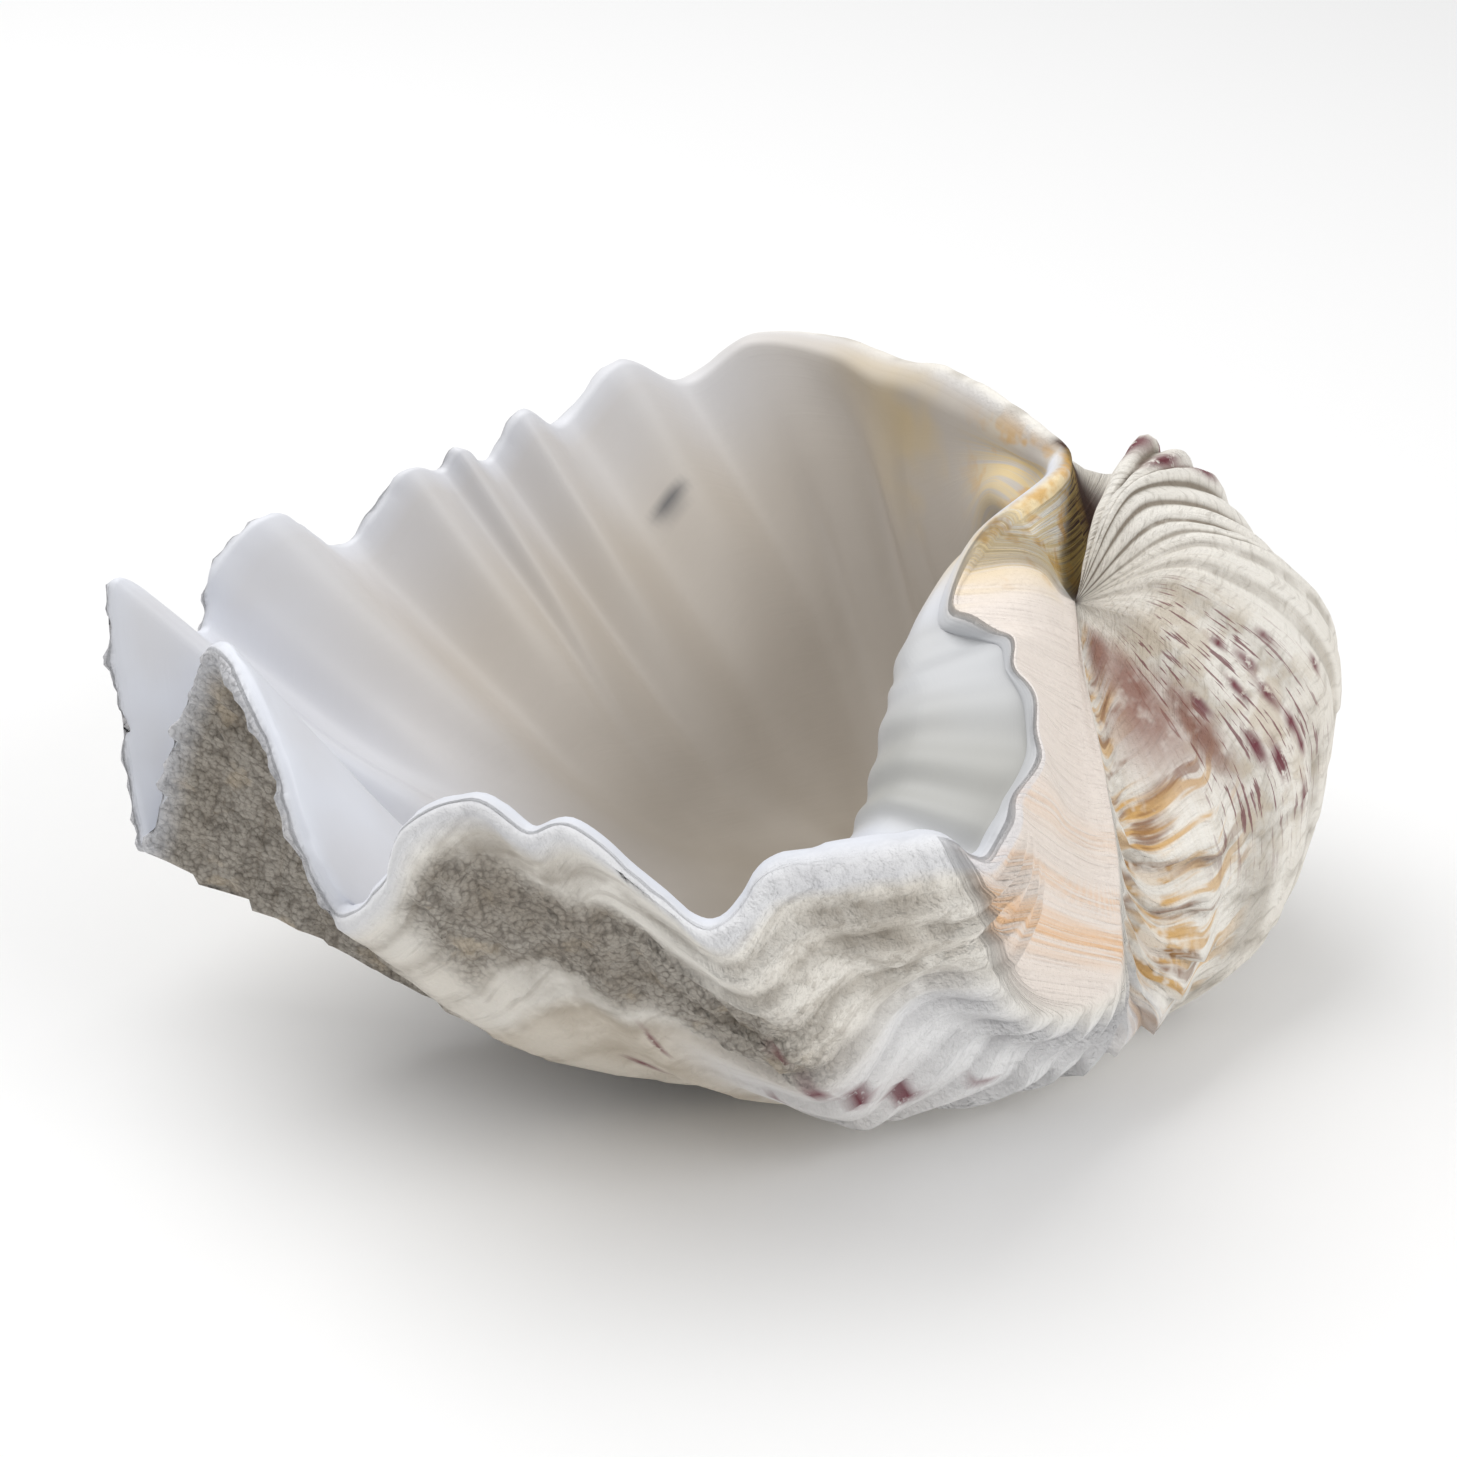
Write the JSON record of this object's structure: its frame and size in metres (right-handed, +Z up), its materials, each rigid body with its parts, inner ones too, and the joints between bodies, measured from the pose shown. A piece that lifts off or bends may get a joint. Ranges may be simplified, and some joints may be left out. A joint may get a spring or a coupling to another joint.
{
  "type": "giant clam shell valve",
  "caption": "One thick ribbed valve of a small giant clam, with a folded rim and a deep smooth bowl, lying on its round back with the bowl open upwards.",
  "frame": {"origin": "on the surface that the valve rests on, under the middle of its box", "axes": "+Z up, out of the open bowl; +X along the valve's length, towards the beak and the hinge; -Y towards the side with the flat lunule face"},
  "size_m": [0.2394, 0.186, 0.1053],
  "materials": {
    "shell": "worn chalky shell outside, smooth porcelain inside"
  },
  "bodies": {
    "root": {"valve": "shell"}
  },
  "joints": []
}
